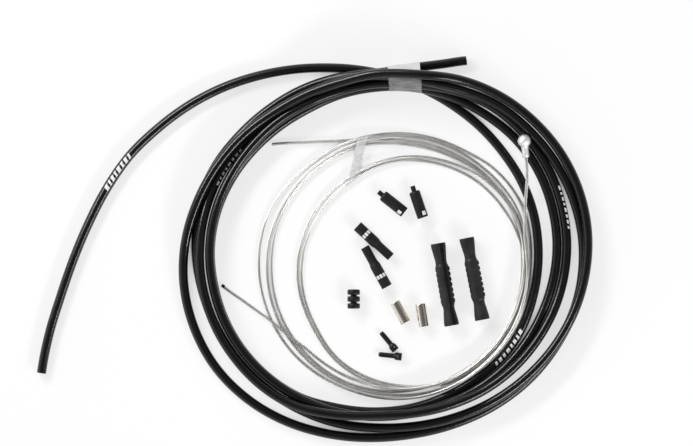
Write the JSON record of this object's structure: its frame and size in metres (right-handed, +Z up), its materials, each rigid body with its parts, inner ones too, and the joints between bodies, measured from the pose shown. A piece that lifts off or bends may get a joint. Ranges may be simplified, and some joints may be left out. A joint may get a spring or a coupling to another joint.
{
  "type": "bicycle brake cable set",
  "caption": "Coiled black brake cable housing with steel inner wires coiled inside it and its loose end fittings, laid out flat.",
  "frame": {"origin": "centre of the laid-out set's bounding box, on the surface that it lies on", "axes": "+X towards the picture's right, +Y towards its top edge, +Z up to the camera"},
  "size_m": [0.2996, 0.2083, 0.0264],
  "materials": {
    "housing_jacket": "satin gloss black jacket",
    "wire_steel": "bright twisted stainless wire",
    "head_metal": "cast head, light grey",
    "clear_film": "clear film",
    "fitting_plastic": "moulded black",
    "ferrule_metal": "nickel plate, slightly warm",
    "black_rubber": "matt black",
    "cap_black": "black anodised"
  },
  "bodies": {
    "root": {"housing": "housing_jacket", "long_inner_wire": "wire_steel", "short_inner_wire": "wire_steel", "long_wire_head": "head_metal", "housing_tape": "clear_film", "wire_tie": "clear_film", "nosed_ferrule_1": "fitting_plastic", "nosed_ferrule_2": "fitting_plastic", "connector_ferrule_1": "fitting_plastic", "connector_ferrule_2": "fitting_plastic", "metal_ferrule_1": "ferrule_metal", "metal_ferrule_2": "ferrule_metal", "rubber_ring_strip": "black_rubber", "frame_sleeve_1": "black_rubber", "frame_sleeve_2": "black_rubber", "end_cap_1": "cap_black", "end_cap_2": "cap_black"}
  },
  "joints": []
}
